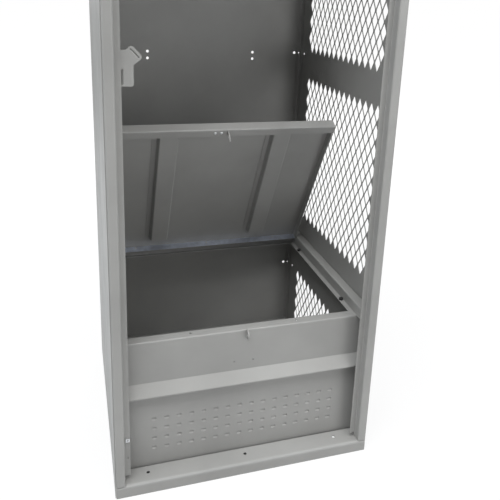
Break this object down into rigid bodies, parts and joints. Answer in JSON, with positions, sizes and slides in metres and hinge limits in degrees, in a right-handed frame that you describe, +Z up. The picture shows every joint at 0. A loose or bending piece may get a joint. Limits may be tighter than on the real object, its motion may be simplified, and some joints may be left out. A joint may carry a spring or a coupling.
{
  "type": "equipment locker",
  "caption": "Tall open-front sheet-steel locker with a diamond-perforated side, an upper shelf, a coat rod and a foot locker under a hinged seat lid.",
  "frame": {"origin": "centre of the footprint at floor level", "axes": "+Z up, -Y towards the open front, +X towards the perforated side"},
  "size_m": [0.61, 0.61, 1.829],
  "materials": {
    "grey_paint": "satin grey powder coat",
    "zinc_plate": "satin zinc plate",
    "black_rubber": "matt"
  },
  "bodies": {
    "cabinet": {"left_front_post": "grey_paint", "right_front_post": "grey_paint", "header_rail": "grey_paint", "base_sill": "grey_paint", "left_side_panel": "grey_paint", "right_side_panel": "grey_paint", "back_panel": "grey_paint", "left_rear_corner": "grey_paint", "right_rear_corner": "grey_paint", "top_panel": "grey_paint", "floor_pan": "grey_paint", "foot_locker_front": "grey_paint", "left_seat_rail": "grey_paint", "right_seat_rail": "grey_paint", "rear_seat_rail": "grey_paint", "bumper_left_front": "black_rubber", "bumper_left_rear": "black_rubber", "bumper_right_front": "black_rubber", "bumper_right_rear": "black_rubber", "padlock_staple": "grey_paint", "upper_shelf": "grey_paint", "coat_rod": "zinc_plate", "rod_bracket_left": "grey_paint", "rod_bracket_right": "grey_paint", "latch_strike_plate": "grey_paint", "clip_nut": "zinc_plate", "hinge_fixed_leaf": "zinc_plate", "hinge_pin": "zinc_plate", "rail_rivet_left": "zinc_plate", "rail_rivet_middle": "zinc_plate", "rail_rivet_right": "zinc_plate"},
    "lid": {"seat_lid": "grey_paint", "hinge_moving_leaf": "zinc_plate", "lid_stiffener_left": "grey_paint", "lid_stiffener_right": "grey_paint", "lid_hasp": "grey_paint", "hasp_rivet_1": "zinc_plate", "hasp_rivet_2": "zinc_plate", "lid_rivet_left": "zinc_plate", "lid_rivet_middle": "zinc_plate", "lid_rivet_right": "zinc_plate"}
  },
  "joints": [
    {"name": "lid_hinge", "type": "hinge", "parent": "cabinet", "child": "lid", "pos_m": [0, 0.2098, 0.3789], "axis": [-1, 0, 0], "range_deg": [-60, 40]}
  ]
}
